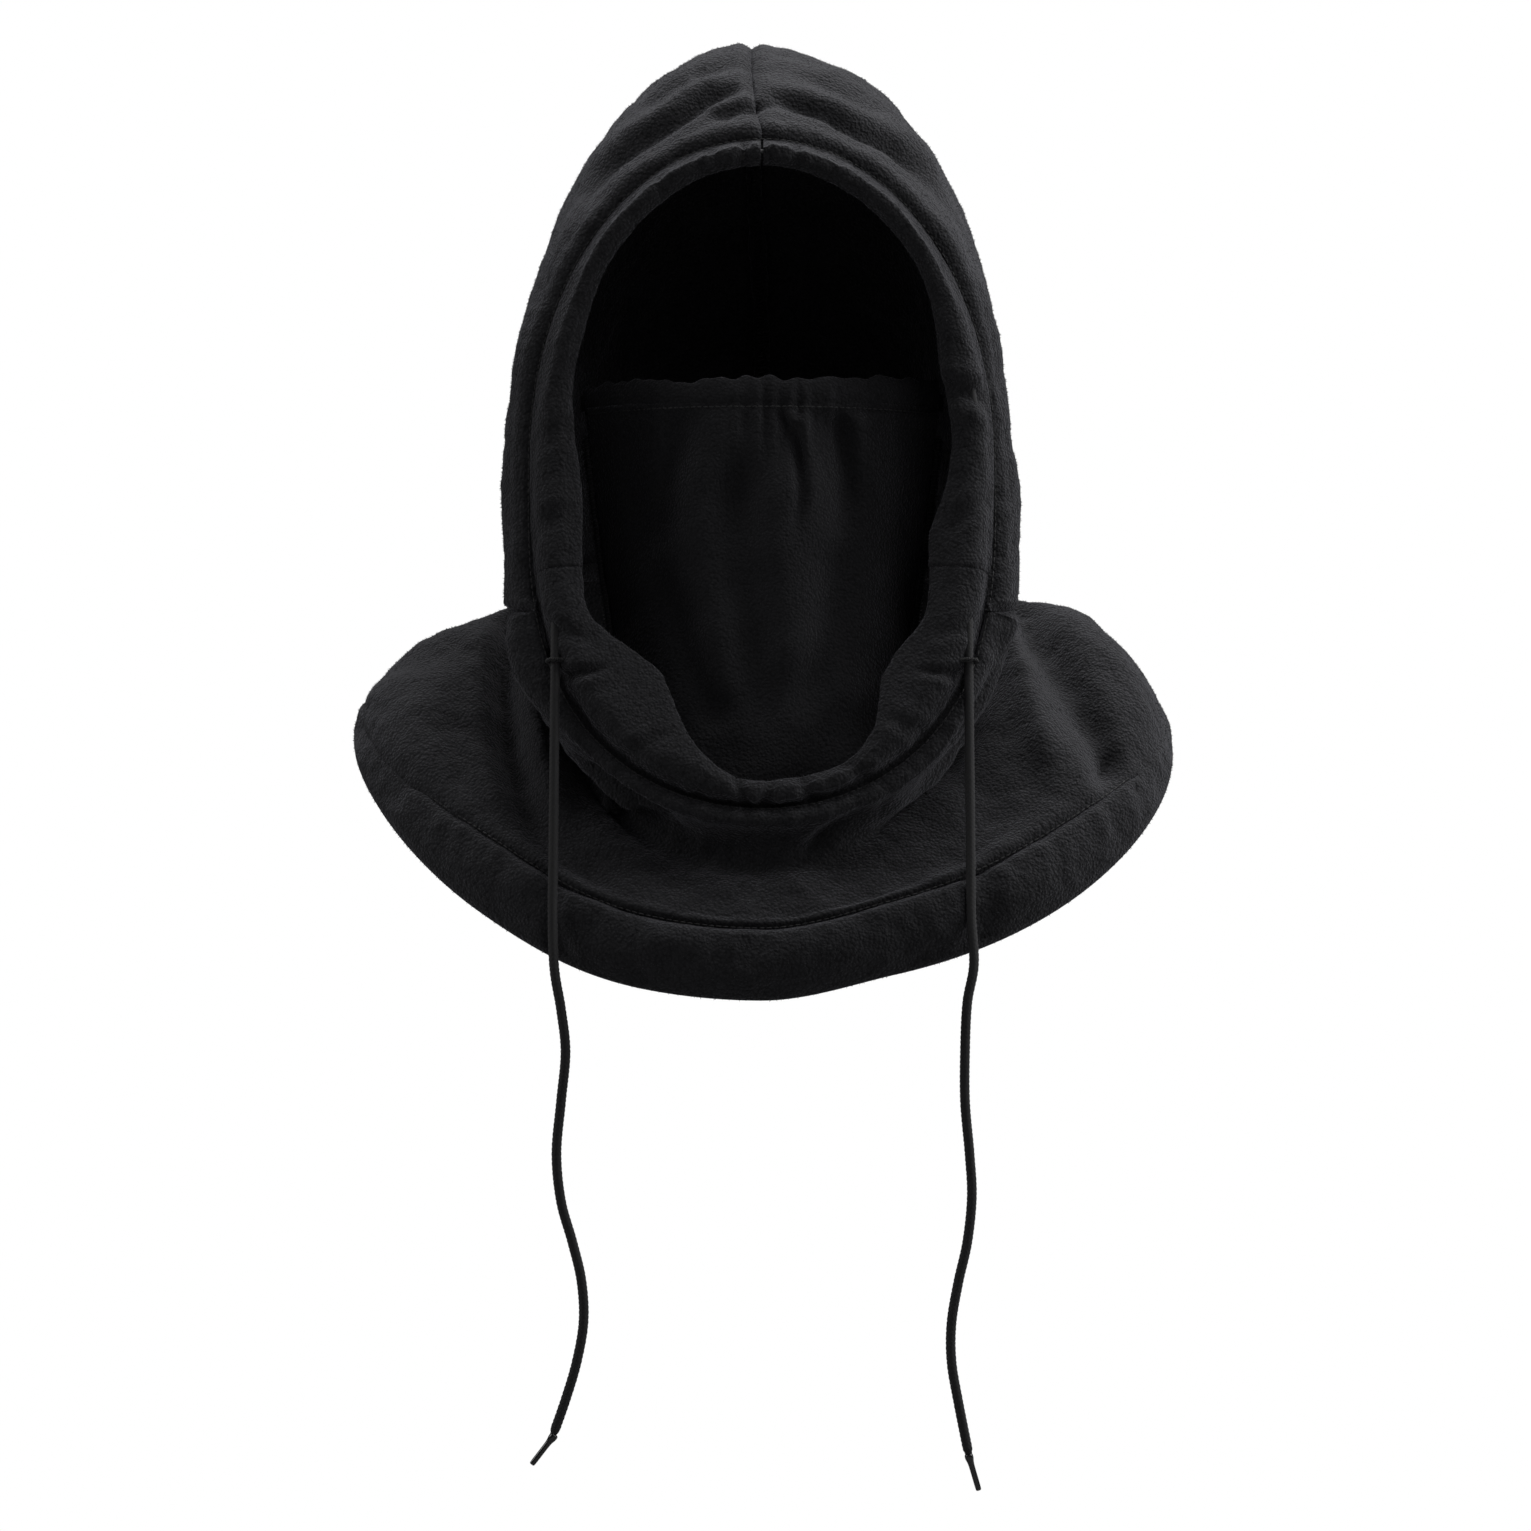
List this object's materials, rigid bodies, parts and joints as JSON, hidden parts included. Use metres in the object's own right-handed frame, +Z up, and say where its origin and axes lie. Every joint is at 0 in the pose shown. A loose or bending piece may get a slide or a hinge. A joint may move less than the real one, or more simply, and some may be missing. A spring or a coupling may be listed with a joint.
{
  "type": "balaclava",
  "caption": "Fleece hood with a drawcord face opening, a shoulder cape with a turned-up hem, hanging cords with plastic tips and a pull-down elastic-top face mask.",
  "frame": {"origin": "inside of the crown, where the top of the wearer's head rests, on the centre plane", "axes": "+Z up, -Y out of the face opening, +X to the right of someone looking at the face"},
  "size_m": [0.392, 0.261, 0.6664],
  "materials": {
    "fleece": "short napped polar fleece, matte",
    "mask_fleece": "smoother single-layer fleece, matte",
    "thread": "spun polyester sewing thread",
    "drawcord": "round braided polyester cord",
    "aglet_plastic": "black shrunk film tip, glossy",
    "elastic": "knitted elastic tape"
  },
  "bodies": {
    "hood": {"hood_panel_left": "fleece", "hood_panel_right": "fleece", "centre_seam_overlock": "thread", "face_casing_left": "fleece", "face_casing_right": "fleece", "face_casing_chin": "fleece", "neck_cape": "fleece", "cape_hem": "fleece", "cape_back_seam": "thread", "casing_stitching": "thread", "neck_seam_stitching": "thread", "hem_stitching": "thread", "drawcord_loop": "drawcord", "cord_exit_left": "thread", "cord_exit_right": "thread", "mask_panel": "mask_fleece", "mask_side_seam_left": "thread", "mask_side_seam_right": "thread"},
    "mask_top": {"mask_top_casing": "mask_fleece", "mask_elastic": "elastic", "mask_tunnel_stitching": "thread"},
    "cord_end_left": {"cord_left": "drawcord", "aglet_left": "aglet_plastic"},
    "cord_end_right": {"cord_right": "drawcord", "aglet_right": "aglet_plastic"}
  },
  "joints": [
    {"name": "mask_pull_down", "type": "slide", "parent": "hood", "child": "mask_top", "axis": [0, 0, -1], "range_m": [0, 0.085], "deforming": ["mask_panel", "mask_side_seam_left", "mask_side_seam_right"]},
    {"name": "cord_pull_left", "type": "slide", "parent": "hood", "child": "cord_end_left", "axis": [0, -0.1772, -0.9842], "range_m": [0, 0.04]},
    {"name": "cord_pull_right", "type": "slide", "parent": "hood", "child": "cord_end_right", "axis": [0, -0.1772, -0.9842], "range_m": [0, 0.04]}
  ]
}
